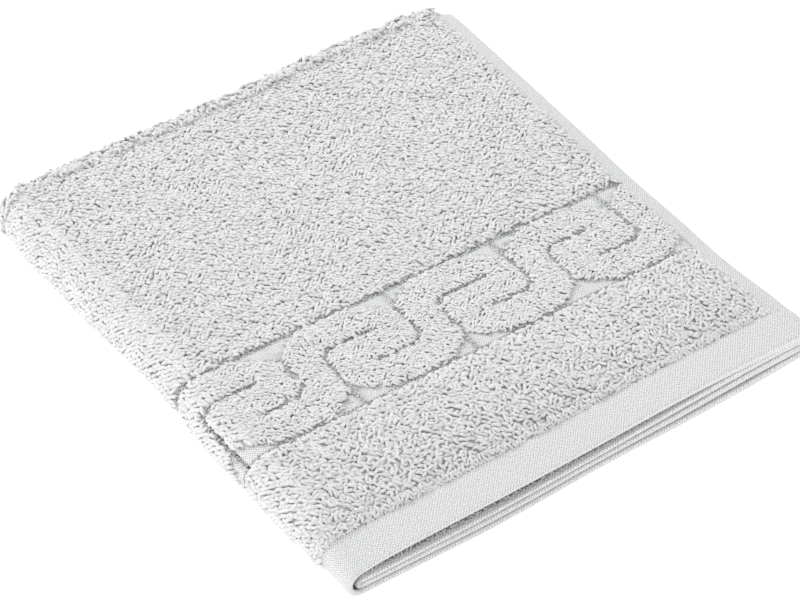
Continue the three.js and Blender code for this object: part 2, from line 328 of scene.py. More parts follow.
FLOW = SoftNoise(11, 34.0)
CURL = SoftNoise(12, 6.0)
DRIFT = SoftNoise(14, 8.0)
EDGE_WANDER = SoftNoise(21, 7.0)
GROOVE_WANDER = SoftNoise(22, 3.0)


@dataclass(frozen=True)
class KeyBorder:
    """The Greek key woven into the pile: bare grooves between bars of loops.

    Each repeat has two grooves: an arm that runs up from the front line and turns
    right, and a hook that comes down from the back line and turns left. Beside
    each, where it meets its line, the bar's corner is cut round and bares the ground.
    """

    repeat: float = 35.7
    start: float = 41.0
    bend: float = 4.2
    line_half: float = 0.42
    groove_half: float = 0.32
    arm_reach: float = 17.0
    hook_reach: float = 14.0
    hook_at: float = -26.0
    cut: float = 1.15
    own_corner: tuple[float, float] = (12.5, 7.5)
    next_corner: tuple[float, float] = (9.5, 6.8)

    def stroke(self, a: Array, y: Array, reach: float) -> Array:
        """Works out the distance from an arm whose corner is at 0, 0.

        Args:
            a: Distance from the arm's upright, positive on the side it turns to.
            y: Distance from the arm's level stretch, negative on the upright's side.
            reach: Length of the level stretch.

        Returns:
            The distance from the arm's middle line.
        """
        r = self.bend
        upright = np.hypot(a, y - np.minimum(y, -r))
        level = np.hypot(a - np.clip(a, r, reach), y)
        turn = np.abs(np.hypot(a - r, y + r) - r)
        inside = (a < r) & (y > -r)
        return np.where(inside, turn, np.minimum(upright, level))

    def patch(self, a: Array, y: Array, corner: tuple[float, float]) -> Array:
        """Works out the distance from the bare ground at a bar's rounded corner.

        Args:
            a: Distance from the upright, positive over the bar.
            y: Distance from the line, positive over the bar.
            corner: How far the rounding reaches along the line and along the upright.

        Returns:
            The distance, negative on the bare ground.
        """
        wide, deep = corner
        box = np.maximum(np.abs(a - wide / 2) - wide / 2, np.abs(y - deep / 2) - deep / 2)
        along_line = np.abs((a - wide) / wide) ** self.cut
        along_upright = np.abs((y - deep) / deep) ** self.cut
        arc = 1.0 - (along_line + along_upright) ** (1 / self.cut)
        return np.maximum(box, arc * (wide + deep) / 2)

    def corners(self, a: Array, y: Array) -> Array:
        """Returns the distance from both rounded corners beside an upright."""
        own = self.patch(a, y, self.own_corner)
        return np.minimum(own, self.patch(-a, y, self.next_corner))

    def clearance(self, across: Array, y: Array, total: float) -> Array:
        """Works out how far places lie from the bare ground.

        Args:
            across: Places across the flat cloth.
            y: Places along the folded cloth.
            total: Full width of the flat cloth.

        Returns:
            The distance, negative on the bare ground.
        """
        front, back = KEY_Y["bottom"], KEY_Y["top"]
        near = np.minimum(np.abs(y - back), np.abs(y - front)) - self.line_half
        for start in np.arange(self.start - self.repeat, total + self.repeat, self.repeat):
            hook = start + self.hook_at
            arm = self.stroke(start - across, y - KEY_Y["upper"], self.arm_reach)
            arm = np.where(y < front, FAR, arm)
            hooked = self.stroke(across - hook, KEY_Y["lower"] - y, self.hook_reach)
            hooked = np.where(y > back, FAR, hooked)
            near = np.minimum(near, np.minimum(arm, hooked) - self.groove_half)
            near = np.minimum(near, self.corners(start - across, y - front))
            near = np.minimum(near, self.corners(across - hook, back - y))
        return near


@dataclass
class FoldedCloth:
    """The washcloth's shape: its sizes, and where a place on the flat cloth lies.

    All lengths are millimetres. `across` runs from the top ply's selvedge round the
    left fold to the bottom ply's, `along` from the outer hem round the back fold to
    the inner hem.
    """

    width: float = 150.0
    length: float = 165.0
    pitch: float = 4.0
    pile: float = 3.4
    seam_pile: float = 2.5
    hem: float = 11.0
    seam_lap: float = 1.0
    droop: float = 16.0
    front_reach: float = 40.0
    selvedge: float = 5.0
    selvedge_thick: float = 1.3
    selvedge_droop: float = 0.2
    selvedge_reach: float = 10.0
    edge_round: float = 0.55
    edge_share: float = 0.35
    groove_depth: float = 1.35
    key_skew: float = -1.6
    key_middle: float = -27.0
    key_spread: float = 24.0
    overhang: float = 0.5
    edge_wander: float = 0.45
    groove_wander: float = 0.3
    groove_gape: float = 0.2
    gape: Ease = Ease(0.0, 3.0)
    border: KeyBorder = KeyBorder()
    shift: Array = field(default_factory=lambda: np.zeros(3))

    def __post_init__(self) -> None:
        """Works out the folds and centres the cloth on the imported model's box."""
        self.right = self.width / 2
        self.front = -self.length / 2
        self.back = self.length / 2
        self.fold_radius = 1.5 * self.pitch
        self.pair_radius = 0.5 * self.pitch
        self.fold_x = -self.right + self.fold_radius + self.pile / 2
        self.fold_y = self.back - self.pair_radius - self.pile / 2
        self.flat_across = self.right - self.fold_x
        self.fold_across = math.pi * self.fold_radius
        self.total_across = 2 * self.flat_across + self.fold_across
        self.flat_along = self.fold_y - self.front
        self.fold_along = math.pi * self.pair_radius
        self.total_along = 2 * self.flat_along + self.fold_along
        self.seam_y = self.front + self.hem
        low, high = self._plain_box()
        cad_low, cad_high = (np.array(corner) / MM for corner in CAD_BOX)
        centre = (cad_low + cad_high) / 2 - (low + high) / 2
        self.shift = np.array([centre[0], centre[1], 0.0])

    def _plain_box(self, samples: int = 500) -> tuple[Array, Array]:
        """Measures the cloth's outer faces before it is centred.

        Args:
            samples: How many places are looked at in each direction.

        Returns:
            The lowest and the highest corner of their box.
        """
        a = np.linspace(0, self.total_across, samples)
        b = np.linspace(0, self.total_along, samples)
        across, along = np.meshgrid(a, b)
        faces = [self.surface(across.ravel(), along.ravel(), side) for side in Side]
        points = np.concatenate(faces)
        return points.min(0), points.max(0)

    def fullness(self, y: Array) -> Array:
        """Returns 0 at the hem's seam and 1 where the plies lie at full height."""
        share = np.clip((y - self.seam_y) / self.droop, 0.0, 1.0)
        return 1.0 - (1.0 - share) ** 2

    def swell(self, x: Array, y: Array) -> Array:
        """Adds up the soft rises and hollows of the stack.

        Args:
            x: Places across the folded cloth.
            y: Places along it.

        Returns:
            How much higher the top ply lies.
        """
        rise = np.zeros_like(x)
        for bump in SWELLS:
            reach = np.hypot(x - bump.x, y - bump.y) / bump.spread
            rise = rise + bump.rise * np.exp(-reach * reach)
        return rise

    def ply_height(self, ply: int, x: Array, y: Array) -> Array:
        """Works out the height of the middle of a ply.

        Args:
            ply: 1 on top to 4 at the bottom.
            x: Places across the folded cloth.
            y: Places along it.

        Returns:
            The height above the floor.
        """
        name = f"ply{ply}"
        seam = column(SEAM_STACK, name, x)
        edge = column(HEM_STACK, name, x) + column(HEM_STACK, "thickness", x) / 2
        hem = mix(edge, seam, (y - self.front) / self.hem)
        share = self.fullness(y)
        lift = (4 - ply) / 3.0
        full = self.pile / 2 + (4 - ply) * self.pitch + lift * self.swell(x, y)
        side = smooth((x - self.right + self.selvedge_reach) / self.selvedge_reach)
        body = mix(seam, full, share) * (1 - self.selvedge_droop * side * share)
        return np.where(y < self.seam_y, hem, body)

    def edge_distances(self, across: Array, along: Array) -> tuple[Array, Array]:
        """Returns the distances from the nearer selvedge and the nearer hem edge."""
        selvedge = np.minimum(across, self.total_across - across)
        return selvedge, np.minimum(along, self.total_along - along)

    def piled(self, across: Array, along: Array) -> Array:
        """Returns 0 on the hems and selvedges and 1 where the pile stands full."""
        selvedge, end = self.edge_distances(across, along)
        return share_at(PILE_RISE, selvedge - self.selvedge) * share_at(PILE_RISE, end - self.hem)

    def thickness(self, across: Array, along: Array) -> Array:
        """Works out the cloth's thickness.

        Args:
            across: Places across the flat cloth.
            along: Places along it.

        Returns:
            The thickness, tips of the loops included.
        """
        selvedge, end = self.edge_distances(across, along)
        top = across < self.total_across / 2
        far = self.fold_x + across - self.flat_across - self.fold_across
        x = np.clip(np.where(top, self.right - across, far), self.fold_x, self.right)
        hem = column(HEM_STACK, "thickness", x)
        pile = mix(self.seam_pile, self.pile, self.fullness(self.front + end))
        rise = share_at(PILE_RISE, selvedge - self.selvedge)
        beside = mix(self.selvedge_thick, pile, rise)
        behind = share_at(PILE_RISE, end - self.hem)
        cloth = mix(np.minimum(hem, beside), beside, behind)
        full = np.where(end < self.hem - self.seam_lap, hem, cloth)
        rim = np.clip(np.minimum(selvedge, end) / self.edge_round, 0.0, 1.0)
        return full * mix(self.edge_share, 1.0, np.sqrt(rim * (2 - rim)))

    def clearance(self, across: Array, along: Array) -> Array:
        """Returns how far a place lies from the border's bare ground, negative on it."""
        near = self.border.clearance(across, self.front + along, self.total_across)
        return np.where(along < self.total_along / 2, near, FAR)

    def pile_clearance(self, across: Array, along: Array) -> Array:
        """Works out how far places lie inside the pile.

        Args:
            across: Places across the flat cloth.
            along: Places along it.

        Returns:
            The distance from any bare part, negative on it.
        """
        selvedge, end = self.edge_distances(across, along)
        edges = np.minimum(selvedge - self.selvedge, end - self.hem) + self.overhang
        edges = edges + self.edge_wander * EDGE_WANDER(across, along)
        uneven = self.groove_wander * GROOVE_WANDER(across, along)
        # Round the fold the pile parts along the grooves.
        opened = self.groove_gape * self.gape.share(selvedge - self.flat_across)
        return np.minimum(self.clearance(across, along) + uneven - opened, edges)

    @staticmethod
    def crease(across: Array, along: Array) -> Array:
        """Adds up the sharp creases.

        Args:
            across: Places across the flat cloth.
            along: Places along it.

        Returns:
            How deep the face lies in them.
        """
        depth = np.zeros_like(across)
        for fold in (FOLD_CREASE, SEAM_TUCK):
            side = (across - fold.across) / fold.half_across
            ahead = (along - fold.along) / fold.half_along
            depth = depth + fold.depth * np.exp(-(side**4) - ahead**4)
        return depth

    def middle(self, across: Array, along: Array) -> Array:
        """Folds the middle of the cloth.

        Args:
            across: Places across the flat cloth.
            along: Places along it.

        Returns:
            Where they lie once the cloth is folded, its outline still straight.
        """
        selvedge, end = self.edge_distances(across, along)
        turn = np.clip((along - self.flat_along) / self.fold_along, 0, 1) * math.pi
        y = self.front + np.minimum(end, self.flat_along)
        outer = (1 + np.cos(turn)) / 2
        bend = np.clip((across - self.flat_across) / self.fold_across, 0, 1) * math.pi
        x = self.right - np.minimum(selvedge, self.flat_across)
        heights = [self.ply_height(ply, x, y) for ply in PLIES]
        top = mix(heights[1], heights[0], outer)
        bottom = mix(heights[2], heights[3], outer)
        radius = (top - bottom) / 2
        low = (1 - np.cos(bend)) / 2
        edges = [column(FRONT_EDGE, f"ply{ply}", x) for ply in PLIES]
        swing = mix(mix(edges[1], edges[0], outer), mix(edges[2], edges[3], outer), low)
        swing = swing * (1 - smooth((y - self.front) / self.front_reach))
        folded_y = y + self.pair_radius * np.sin(turn) + swing
        height = (top + bottom) / 2 + radius * np.cos(bend)
        return np.stack([x - radius * np.sin(bend), folded_y, height], -1)

    def directions(self, across: Array, along: Array) -> tuple[Array, Array, Array]:
        """Works out which way the cloth's face runs.

        Args:
            across: Places across the flat cloth.
            along: Places along it.

        Returns:
            The across, along and outward directions at each place.
        """
        step = 0.02
        a = np.clip(across, step, self.total_across - step)
        b = np.clip(along, step, self.total_along - step)
        da = unit(self.middle(a + step, b) - self.middle(a - step, b))
        db = unit(self.middle(a, b + step) - self.middle(a, b - step))
        normal = unit(np.cross(db, da))
        return da, unit(np.cross(da, normal)), normal

    def outline(self, points: Array) -> Array:
        """Swings the straight rectangle to the real outline.

        Args:
            points: Points of the folded cloth.

        Returns:
            The moved points, centred and kept off the floor.
        """
        x, y = points[..., 0], points[..., 1]
        left, right = (column(SIDE_OUTLINE, name, y) for name in ("left", "right"))
        back = column(BACK_OUTLINE, "back", x)
        rightward = np.clip((x + self.right) / self.width, 0.0, 1.0)
        border = np.exp(-(((y - self.key_middle) / self.key_spread) ** 2))
        moved = points.copy()
        moved[..., 0] += mix(left, right, rightward)
        moved[..., 1] += back * smooth(y / self.back) + self.key_skew * rightward * border
        moved[..., 2] = np.maximum(points[..., 2], 0.0)
        return moved + self.shift

    def surface(self, across: Array, along: Array, side: Side, sink: Array | float = 0.0) -> Array:
        """Folds one side of the cloth.

        Args:
            across: Places across the flat cloth.
            along: Places along it.
            side: The face, with the relief, or the back.
            sink: How far the points lie below the tips of the loops.

        Returns:
            The points of that side.
        """
        normal = self.directions(across, along)[2]
        half = self.thickness(across, along) / 2 - sink
        middle = self.middle(across, along)
        return self.outline(middle + side.value * half[..., None] * normal)


def linear(hex_colour: str) -> tuple[float, float, float, float]:
    """Turns an sRGB hex colour to linear light.

    Args:
        hex_colour: The colour as #RRGGBB.

    Returns:
        Its red, green and blue, and an alpha of 1.
    """
    values = [int(hex_colour[i : i + 2], 16) / 255 for i in (1, 3, 5)]
    lin = [v / 12.92 if v <= 0.04045 else ((v + 0.055) / 1.055) ** 2.4 for v in values]
    return (*lin, 1.0)


def add(tree: NodeTree, kind: str, settings: dict, links: dict) -> Node:
    """Adds one node with its settings and its inputs.

    Args:
        tree: The node tree.
        kind: The node's type without ShaderNode in front, such as Math.
        settings: Attributes of the node, or numbers for its inputs by name or index.
        links: Input name or index to the socket that feeds it, or to the node whose
            first output does.

    Returns:
        The new node.
    """
    node = tree.nodes.new("ShaderNode" + kind)
    for name, value in settings.items():
        if isinstance(name, str) and hasattr(node, name):
            setattr(node, name, value)
        else:
            node.inputs[name].default_value = value
    for name, source in links.items():
        socket = source.outputs[0] if isinstance(source, Node) else source
        tree.links.new(socket, node.inputs[name])
    return node


def new_material(name: str, roughness: float, specular: float) -> tuple[Material, NodeTree, Node]:
    """Starts a material with one plain shader.

    Args:
        name: The material's name.
        roughness: The shader's roughness.
        specular: The shader's specular level.

    Returns:
        The material, its node tree and its shader.
    """
    material = bpy.data.materials.new(name)
    material.use_nodes = True
    shader = material.node_tree.nodes["Principled BSDF"]
    shader.inputs["Roughness"].default_value = roughness
    shader.inputs["Specular IOR Level"].default_value = specular
    return material, material.node_tree, shader


@dataclass(frozen=True)
class CottonYarn:
    """Soft-spun cotton loop yarn: matt, with the faint slanted lines of its twist."""

    name: str = "terry_cotton_loops"
    light: str = "#F3F4F3"
    # Colour of the shade painted on the loops' flanks and ends.
    shade: str = "#CCCECD"
    roughness: float = 0.95
    specular: float = 0.25
    twist_mm: float = 0.55
    twist_wander: float = 1.2
    bump_mm: float = 0.05
    bump_share: float = 0.5

    def make(self) -> Material:
        """Makes the material.

        Returns:
            The material, which reads the loops' own UV map and tone.
        """
        material, tree, shader = new_material(self.name, self.roughness, self.specular)
        # The tone holds each loop's own dye, a little uneven, and the shade painted on its flanks
        # and ends.
        tone = add(tree, "Attribute", {"attribute_name": "tone"}, {}).outputs["Fac"]
        ends = {"data_type": "RGBA", 6: linear(self.shade), 7: linear(self.light)}
        colour = add(tree, "Mix", ends, {0: tone})
        tree.links.new(colour.outputs[2], shader.inputs["Base Color"])
        # The two strands wind round each other, so the ridges run slanting.
        uv = add(tree, "UVMap", {"uv_map": "yarn"}, {})
        ridges = {
            "wave_type": "BANDS",
            "bands_direction": "DIAGONAL",
            "Scale": 1.0 / self.twist_mm,
            "Distortion": self.twist_wander,
        }
        wave = add(tree, "TexWave", ridges, {"Vector": uv}).outputs["Fac"]
        relief = {"Strength": self.bump_share, "Distance": self.bump_mm * MM}
        bump = add(tree, "Bump", relief, {"Height": wave})
        tree.links.new(bump.outputs["Normal"], shader.inputs["Normal"])
        return material


class ClothNodes(NamedTuple):
    """The woven ground's node tree, its UV map and the map's separate coordinates."""

    tree: NodeTree
    uv: Node
    split: Node


@dataclass(frozen=True)
class WovenGround:
    """Flat woven cotton: the hems' plain weave, ribbed at the selvedges."""

    name: str = "woven_cotton_ground"
    light: str = "#FEFFFE"
    shade: str = "#BABDBC"
    # The lower loops' backs and the roots between them, darkened by painted shade.
    root: str = "#C6C8C7"
    loop: str = "#DCDEDD"
    # Painted shade in the grooves, mottled between these two colours.
    groove: str = "#CCCECD"
    groove_shade: str = "#747675"
    # Painted shade in between the plies and in the creases, mottled between these two colours.
    inside: str = "#E6E8E7"
    inside_shade: str = "#0C0E0D"
    hole: str = "#6A6C6B"
    roughness: float = 0.9
    specular: float = 0.25
    stitch_mm: float = 2.8
    seam_mm: float = 10.55
    hole_mm: float = 0.2
    loop_mm: tuple[float, float] = (1.5, 1.05)
    loop_back: Spread = Spread(0.02, 0.3)
    wander_mm: float = 3.0
    wander_scale: float = 0.35
    thread_mm: float = 0.42
    thread_share: float = 0.45
    speckle_mm: float = 0.42
    speckle: Spread = Spread(0.32, 0.68, 0.22, 0.8)
    mottle_mm: float = 0.62
    mottle: Spread = Spread(0.44, 0.58)
    rib_mm: float = 0.8
    rib_share: float = 0.55
    rib_base: float = 1.05
    bump_mm: float = 0.12
    bump_share: float = 0.8
    selvedge_mm: float = 4.6

    def make(self, across_mm: float) -> Material:
        """Makes the material.

        Args:
            across_mm: Width of the flat cloth, which the UV map measures in mm.

        Returns:
            The material, which reads the sheet's UV map and its shares of painted shade.
        """
        material, tree, shader = new_material(self.name, self.roughness, self.specular)
        uv = add(tree, "UVMap", {"uv_map": "cloth"}, {})
        nodes = ClothNodes(tree, uv, add(tree, "SeparateXYZ", {}, {0: uv}))
        weave = self._weave(nodes)
        ribbed = add(tree, "Math", {"operation": "MULTIPLY"}, {0: weave, 1: self._ribs(nodes)})
        near = self._near_selvedge(nodes, across_mm)
        height = add(tree, "Mix", {"data_type": "FLOAT"}, {0: near, 2: weave, 3: ribbed})
        ends = {"data_type": "RGBA", 6: linear(self.shade), 7: linear(self.light)}
        threads = add(tree, "Mix", ends, {0: height}).outputs[2]
        pierce = {"data_type": "RGBA", 7: linear(self.hole)}
        links = {0: self._needle_holes(nodes), 6: threads}
        colour = add(tree, "Mix", pierce, links).outputs[2]
        # In the painted shade, the weave's uneven light is painted as a mottle.
        mottle = self._grain(nodes, self.mottle_mm, 0.0, self.mottle)
        layers = (
            # Under the pile the lower loops are painted between the upper ones, with painted shade
            # at their roots.
            ("under_loops_shade", self._lower_loops(nodes), self.root, self.loop),
            # Little light gets into a narrow groove or in between the plies, so shade is painted
            # there.
            ("in_groove_shade", mottle, self.groove_shade, self.groove),
            ("ply_and_crease_shade", mottle, self.inside_shade, self.inside),
        )
        for attribute, pattern, low, high in layers:
            ends = {"data_type": "RGBA", 6: linear(low), 7: linear(high)}
            cover = add(tree, "Mix", ends, {0: pattern}).outputs[2]
            share = add(tree, "Attribute", {"attribute_name": attribute}, {}).outputs["Fac"]
            links = {0: share, 6: colour, 7: cover}
            colour = add(tree, "Mix", {"data_type": "RGBA"}, links).outputs[2]
        tree.links.new(colour, shader.inputs["Base Color"])
        relief = {"Strength": self.bump_share, "Distance": self.bump_mm * MM}
        bump = add(tree, "Bump", relief, {"Height": height})
        tree.links.new(bump.outputs["Normal"], shader.inputs["Normal"])
        return material

    @staticmethod
    def _wave(nodes: ClothNodes, axis: str, wavelength: float) -> Node:
        """Makes a sine wave in one direction of the cloth.

        Args:
            nodes: The ground's tree and its coordinates.
            axis: X across the cloth or Y along it.
            wavelength: Length of a wave in millimetres.

        Returns:
            The node that gives the wave, from -1 to 1.
        """
        rate = {"operation": "MULTIPLY", 1: 2 * math.pi / wavelength}
        turn = add(nodes.tree, "Math", rate, {0: nodes.split.outputs[axis]})
        return add(nodes.tree, "Math", {"operation": "SINE"}, {0: turn})

    @staticmethod
    def _grain(nodes: ClothNodes, size: float, detail: float, spread: Spread) -> Node:
        """Makes a fine uneven grain.

        Args:
            nodes: The ground's tree and its coordinates.
            size: Size of a grain in millimetres.
            detail: How much finer grain lies in it.
            spread: The values that it is spread over.

        Returns:
            The node that gives the grain.
        """
        fineness = {"Scale": 1.0 / size, "Detail": detail}
        noise = add(nodes.tree, "TexNoise", fineness, {"Vector": nodes.uv})
        return add(nodes.tree, "MapRange", spread.settings(), {"Value": noise})

    def _weave(self, nodes: ClothNodes) -> Node:
        """Makes a plain weave.

        Args:
            nodes: The ground's tree and its coordinates.

        Returns:
            The node that gives its height, high where a thread comes up.
        """
        waves = [self._wave(nodes, axis, 2 * self.thread_mm) for axis in ("X", "Y")]
        both = add(nodes.tree, "Math", {"operation": "MULTIPLY"}, dict(enumerate(waves)))
        # The threads are spun unevenly, which shows as a fine speckle.
        speckle = self._grain(nodes, self.speckle_mm, 1.0, self.speckle)
        total = {"operation": "MULTIPLY_ADD", 1: self.thread_share}
        return add(nodes.tree, "Math", total, {0: both, 2: speckle})

    def _ribs(self, nodes: ClothNodes) -> Node:
        """Returns the node that gives the selvedge's ribs, which run along the cloth."""
        lift = {"operation": "MULTIPLY_ADD", 1: self.rib_share, 2: self.rib_base}
        return add(nodes.tree, "Math", lift, {0: self._wave(nodes, "X", self.rib_mm)})

    def _needle_holes(self, nodes: ClothNodes) -> Node:
        """Marks the holes that the seam's stitches pull in the hem.

        Args:
            nodes: The ground's tree and its coordinates.

        Returns:
            The node that gives 1 in the holes and 0 elsewhere.
        """
        tree, split, half = nodes.tree, nodes.split, self.stitch_mm / 2
        every = {"operation": "WRAP", 1: half, 2: -half}
        beside = add(tree, "Math", every, {0: split.outputs["X"]})
        seam = {"operation": "SUBTRACT", 1: self.seam_mm}
        off = add(tree, "Math", seam, {0: split.outputs["Y"]})
        both = add(tree, "CombineXYZ", {}, {0: beside, 1: off})
        reach = add(tree, "VectorMath", {"operation": "LENGTH"}, {0: both})
        near = {"operation": "LESS_THAN", 1: self.hole_mm}
        return add(tree, "Math", near, {0: reach.outputs["Value"]})

    def _lower_loops(self, nodes: ClothNodes) -> Node:
        """Marks the lower loops that show between the upper ones.

        Args:
            nodes: The ground's tree and its coordinates.

        Returns:
            The node that gives 1 on their backs and 0 in the gaps between them, where shade is
            painted.
        """
        tree = nodes.tree
        waver = {"Scale": self.wander_scale, "Detail": 2.0}
        wander = add(tree, "TexNoise", waver, {"Vector": nodes.uv}).outputs["Color"]
        reach = {"operation": "MULTIPLY_ADD", 1: (self.wander_mm, self.wander_mm, 0.0)}
        moved = add(tree, "VectorMath", reach, {0: wander, 2: nodes.uv})
        wide, long = self.loop_mm
        size = {"operation": "MULTIPLY", 1: (1 / wide, 1 / long, 1.0)}
        scaled = add(tree, "VectorMath", size, {0: moved})
        edges = {"feature": "DISTANCE_TO_EDGE", "Scale": 1.0}
        cells = add(tree, "TexVoronoi", edges, {"Vector": scaled}).outputs["Distance"]
        return add(tree, "MapRange", self.loop_back.settings(), {"Value": cells})

    def _near_selvedge(self, nodes: ClothNodes, across_mm: float) -> Node:
        """Marks the selvedge strips.

        Args:
            nodes: The ground's tree and its coordinates.
            across_mm: Width of the flat cloth.

        Returns:
            The node that gives 1 on the strips and 0 elsewhere.
        """
        half = across_mm / 2
        centre = {"operation": "SUBTRACT", 1: half}
        centred = add(nodes.tree, "Math", centre, {0: nodes.split.outputs["X"]})
        out = add(nodes.tree, "Math", {"operation": "ABSOLUTE"}, {0: centred})
        strip = {"operation": "GREATER_THAN", 1: half - self.selvedge_mm}
        return add(nodes.tree, "Math", strip, {0: out})


@dataclass(frozen=True)
class StudioWhite:
    """Matt white paper sweep under the cloth."""

    name: str = "white_paper_sweep"
    colour: str = "#FFFFFF"
    roughness: float = 1.0
    specular: float = 0.0
    glow: float = 0.45

    def make(self) -> Material:
        """Makes the material.

        Returns:
            The material, which glows a little.
        """
        material, _, shader = new_material(self.name, self.roughness, self.specular)
        shader.inputs["Base Color"].default_value = linear(self.colour)
        # The sweep glows a little, painted light as if it were lit from below too, so that no shadow
        # shows round the cloth.
        shader.inputs["Emission Color"].default_value = linear(self.colour)
        shader.inputs["Emission Strength"].default_value = self.glow
        return material


def link(obj: Object) -> Object:
    """Puts an object in the scene."""
    bpy.context.scene.collection.objects.link(obj)
    return obj


def settle(bm: bmesh.types.BMesh, name: str) -> Object:
    """Makes an object of an edited mesh, and frees the latter.

    Args:
        bm: The edited mesh.
        name: The name of the object and its mesh.

    Returns:
        The object, in the scene.
    """
    mesh = bpy.data.meshes.new(name)
    bm.to_mesh(mesh)
    bm.free()
    return link(bpy.data.objects.new(name, mesh))


def dress(obj: Object, material: Material) -> None:
    """Gives a piece its material and its body.

    Args:
        obj: The piece.
        material: What it is made of.
    """
    obj.data.materials.append(material)
    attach(obj, "root")


@dataclass
class GroundSheet:
    """The whole cloth as one closed sheet: ground, hems and selvedges.

    Where the pile stands, the face lies at the foot of the loops. The fields in mm are
    first how deep the sheet lies and how far apart its lines are, then where lines lie
    from the rim, from a bare strip's inner edge, from a level groove and from the crease.
    """

    cloth: FoldedCloth
    foot_mm: float = 1.1
    bare_half_mm: float = 0.5
    step_mm: float = 1.75
    under_step_mm: float = 3.4
    hidden_step_mm: float = 6.0
    strip_step_mm: float = 2.6
    wrap_mm: float = 1.3
    fold_lines: int = 13
    rim_mm: tuple[float, ...] = (0, 0.12, 0.3, 0.55, 1.2, 2.0)
    strip_mm: tuple[float, ...] = (-0.4, 0.1, 0.7, 1.6)
    groove_mm: tuple[float, ...] = (-1.0, -0.4, 0.0, 0.4, 1.0)
    crease_mm: tuple[float, ...] = (-0.9, -0.45, 0.0, 0.45, 0.9)
    back_opening_mm: float = 3.0
    fold_start_mm: float = 1.0
    opening: Ease = Ease(0.0, 4.0)
    shelter: Ease = Ease(-0.4, 1.6)
    shade_in: Ease = Ease(0.4, 2.2)
    fold_shade_in: Ease = Ease(0.5, 0.9)
    open_share: float = 0.9
    inside_share: float = 0.9
    crease_share: float = 0.8

    def half(self, edge: float, flat: float, step: float) -> list[float]:
        """Places the lines from an edge to the fold.

        Args:
            edge: Depth of the bare strip at the edge.
            flat: Length of the flat stretch before the fold.
            step: Distance between the lines under the pile.

        Returns:
            The lines' distances from the edge.
        """
        near = [edge + off for off in self.strip_mm]
        count = max(3, round(edge / self.strip_step_mm))
        strip = np.linspace(self.rim_mm[-1], near[0], count)[1:-1]
        body = np.linspace(near[-1], flat, round((flat - edge) / step))[1:]
        return [*self.rim_mm, *strip, *near, *body]

    def lines(self, edge: float, flat: float, fold: float, far_step: float) -> Array:
        """Places the sheet's lines in one direction.

        Args:
            edge: Depth of the bare strip at each end.
            flat: Length of the flat stretch before the fold.
            fold: Length of the fold.
            far_step: Distance between the lines beyond the fold.

        Returns:
            The lines' places on the flat cloth.
        """
        bend = np.linspace(flat, flat + fold, self.fold_lines)[1:]
        far = [2 * flat + fold - at for at in reversed(self.half(edge, flat, far_step))][1:]
        return np.array([*self.half(edge, flat, self.step_mm), *bend, *far])

    def grid(
        self, bm: bmesh.types.BMesh, a_lines: Array, b_lines: Array
    ) -> tuple[Array, Array, Array]:
        """Makes a flat grid with a back.

        Args:
            bm: The empty mesh that it goes into.
            a_lines: Places of the lines across the cloth.
            b_lines: Places of the lines along it.

        Returns:
            Each vertex's place across and along the cloth, and whether it is on the back.
        """
        columns, rows = len(a_lines) - 1, len(b_lines) - 1
        bmesh.ops.create_grid(bm, x_segments=columns, y_segments=rows, size=1.0)
        everything = bm.faces[:] + bm.edges[:] + bm.verts[:]
        back = bmesh.ops.extrude_face_region(bm, geom=everything, use_keep_orig=True)
        flipped = {v for v in back["geom"] if isinstance(v, bmesh.types.BMVert)}
        bm.verts.ensure_lookup_table()
        flat = np.array([v.co for v in bm.verts])
        index_a = np.rint((flat[:, 0] + 1) / 2 * columns).astype(int)
        index_b = np.rint((flat[:, 1] + 1) / 2 * rows).astype(int)
        is_back = np.array([v in flipped for v in bm.verts])
        return a_lines[index_a], b_lines[index_b], is_back

    def unroll(self, bm: bmesh.types.BMesh, across: Array, along: Array, is_back: Array) -> None:
        """Gives the sheet its UV map, in millimetres of cloth.

        Args:
            bm: The sheet.
            across: Each vertex's place across the flat cloth.
            along: Its place along it.
            is_back: Whether it is on the cloth's back.
        """
        c = self.cloth
        # On the back the cloth's places count on round the hem edge, so that the weave
        # isn't stretched there.
        first = along < c.total_along / 2
        beyond = np.where(first, 0.0, 2 * c.total_along)
        gap = np.where(first, -self.wrap_mm, self.wrap_mm)
        placed = np.where(is_back, beyond - along + gap, along)
        uv = bm.loops.layers.uv.new("cloth")
        bm.verts.index_update()
        for face in bm.faces:
            face.smooth = True
            for loop in face.loops:
                i = loop.vert.index
                loop[uv].uv = (across[i], placed[i])

    def build(self, material: Material) -> Object:
        """Builds the sheet from a flat grid with a back, folded vertex by vertex.

        Args:
            material: The woven ground's material.

        Returns:
            The sheet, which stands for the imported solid.
        """
        c = self.cloth
        a_lines = self.lines(c.selvedge, c.flat_across, c.fold_across, self.under_step_mm)
        beside_crease = [FOLD_CREASE.across + off for off in self.crease_mm]
        b_lines = self.lines(c.hem, c.flat_along, c.fold_along, self.hidden_step_mm)
        level = [y - c.front for y in KEY_Y.values()]
        beside_grooves = [at + off for at in level for off in self.groove_mm]
        bm = bmesh.new()
        across, along, is_back = self.grid(
            bm,
            np.sort(np.append(a_lines, beside_crease)),
            np.sort(np.append(b_lines, beside_grooves)),
        )
        face = c.surface(across, along, Side.FACE, self.sink(across, along))
        hidden = c.surface(across, along, Side.BACK)
        folded = np.where(is_back[:, None], hidden, face) * MM
        self.unroll(bm, across, along, is_back)
        for vert, co in zip(bm.verts, folded):
            vert.co = co
        for name, shares in self.shares(across, along, is_back).items():
            layer = bm.verts.layers.float.new(name)
            for vert, share in zip(bm.verts, shares):
                vert[layer] = share
        bmesh.ops.recalc_face_normals(bm, faces=bm.faces[:])
        sheet = settle(bm, "cloth_ground")
        dress(sheet, material)
        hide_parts(NODE)
        return sheet

